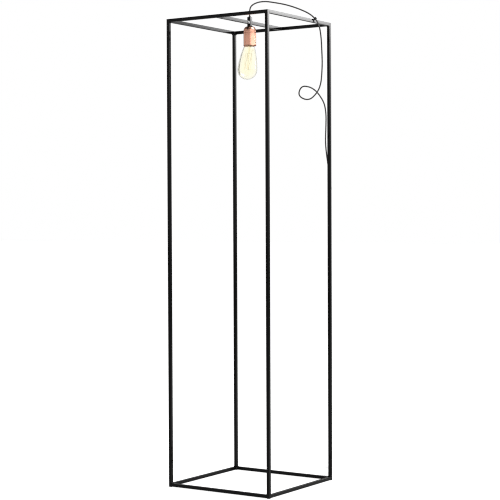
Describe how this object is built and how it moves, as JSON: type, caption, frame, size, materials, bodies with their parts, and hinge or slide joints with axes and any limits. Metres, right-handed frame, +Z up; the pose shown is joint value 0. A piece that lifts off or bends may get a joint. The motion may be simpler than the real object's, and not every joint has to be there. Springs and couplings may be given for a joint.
{
  "type": "wire cage floor lamp",
  "caption": "Tall open box frame of black square bar with a crossbar, a copper lampholder and a clear pear-shaped bulb, its textile cord draped over a top rail and led down one post.",
  "frame": {"origin": "middle of the cage's foot, on the floor, under the lampholder", "axes": "+Z up; -Y is the front, which is parallel to the top rail called front; +X is the right-hand side; the cord goes down the back right post"},
  "size_m": [0.3995, 0.6208, 1.5638],
  "materials": {
    "cage_paint": "satin black paint over square steel bar",
    "pad_felt": "black felt",
    "polished_copper": "polished copper plate, clear lacquer",
    "bright_steel": "zinc plate",
    "contact_brass": "bare brass",
    "insert_ceramic": "white steatite",
    "clear_glass": "clear, faint warm tint",
    "bulb_nickel": "nickel-coated, rolled thread",
    "bulb_filament": "dark carbon-coated filament",
    "bulb_black_glass": "black vitrite",
    "bulb_solder": "soft solder",
    "cord_textile": "braided black textile over flex",
    "black_plastic": "moulded, fine grain",
    "rocker_plastic": "polished moulding",
    "relief_rubber": "soft moulded",
    "pin_nickel": "nickel plate"
  },
  "bodies": {
    "frame": {"post_front_left": "cage_paint", "post_front_right": "cage_paint", "post_back_right": "cage_paint", "post_back_left": "cage_paint", "top_rail_front": "cage_paint", "top_rail_right": "cage_paint", "top_rail_back": "cage_paint", "top_rail_left": "cage_paint", "bottom_rail_front": "cage_paint", "bottom_rail_right": "cage_paint", "bottom_rail_back": "cage_paint", "bottom_rail_left": "cage_paint", "crossbar_front": "cage_paint", "crossbar_back": "cage_paint", "corner_welds": "cage_paint", "crossbar_welds": "cage_paint", "hanger_block": "cage_paint", "floor_pads": "pad_felt", "holder_cap": "polished_copper", "holder_shell": "polished_copper", "bar_screw": "bright_steel", "holder_nipple": "bright_steel", "lock_nut": "bright_steel", "switch_screws": "bright_steel", "screw_sleeve": "contact_brass", "centre_contact": "contact_brass", "terminal_screws": "contact_brass", "holder_wires": "contact_brass", "socket_insert": "insert_ceramic", "terminal_blocks": "insert_ceramic", "cord_upper": "cord_textile", "cord_lower": "cord_textile", "cord_hank": "cord_textile", "cord_tail": "cord_textile", "cord_bush": "black_plastic", "rail_clip": "black_plastic", "post_clips": "black_plastic", "hank_tie": "black_plastic", "switch_front": "black_plastic", "switch_back": "black_plastic", "plug_body": "black_plastic", "switch_reliefs": "relief_rubber", "plug_relief": "relief_rubber", "plug_pins": "pin_nickel"},
    "bulb_travel": {"bulb_tip": "bulb_solder", "bulb_insulator": "bulb_black_glass"},
    "bulb": {"bulb_cap": "bulb_nickel", "bulb_glass": "clear_glass", "bulb_stem": "clear_glass", "bulb_hooks": "bulb_nickel", "bulb_filament": "bulb_filament"},
    "rocker": {"switch_rocker": "rocker_plastic"}
  },
  "joints": [
    {"name": "bulb_slide", "type": "slide", "parent": "frame", "child": "bulb_travel", "axis": [0, 0, -1], "range_m": [0, 0.0129]},
    {"name": "bulb_turn", "type": "hinge", "parent": "bulb_travel", "child": "bulb", "pos_m": [0, 0, 1.44], "axis": [0, 0, -1], "range_deg": [0, 1260]},
    {"name": "switch_rock", "type": "hinge", "parent": "frame", "child": "rocker", "pos_m": [0.17674, 0.20752, 0.7], "axis": [-0.5045, 0.8634, 0], "range_deg": [0, 14]}
  ],
  "couplings": [
    {"joint": "bulb_slide", "follows": "bulb_turn", "m_per_rad": 0.00057751}
  ]
}
